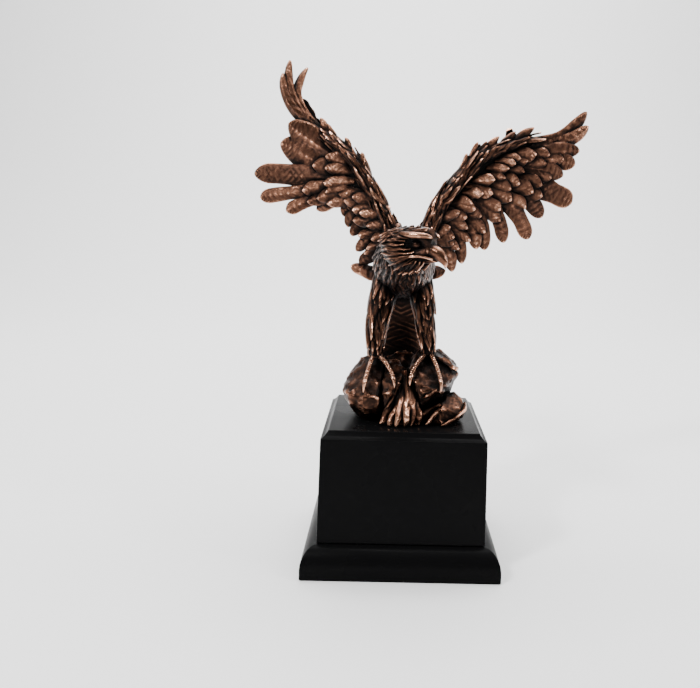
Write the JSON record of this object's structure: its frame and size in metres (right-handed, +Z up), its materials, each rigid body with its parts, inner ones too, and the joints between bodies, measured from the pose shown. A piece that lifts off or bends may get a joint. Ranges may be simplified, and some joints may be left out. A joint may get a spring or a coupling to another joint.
{
  "type": "bronze eagle statue",
  "caption": "Eagle landing on a rock with raised, spread wings, cast in one piece with an antique bronze finish, standing on a square moulded black plinth.",
  "frame": {"origin": "middle of the plinth's underside", "axes": "+Z up, -Y the way the eagle's breast and the plinth's front face, +X to the right of a viewer in front"},
  "size_m": [0.2095, 0.1118, 0.2921],
  "materials": {
    "bronze": "antique copper bronze: near black in the recesses, rubbed warm copper on the feather tips and ridges",
    "plinth": "smooth black satin lacquer"
  },
  "bodies": {
    "root": {"eagle_on_rock": "bronze", "plinth_block": "plinth", "plinth_foot": "plinth"}
  },
  "joints": []
}
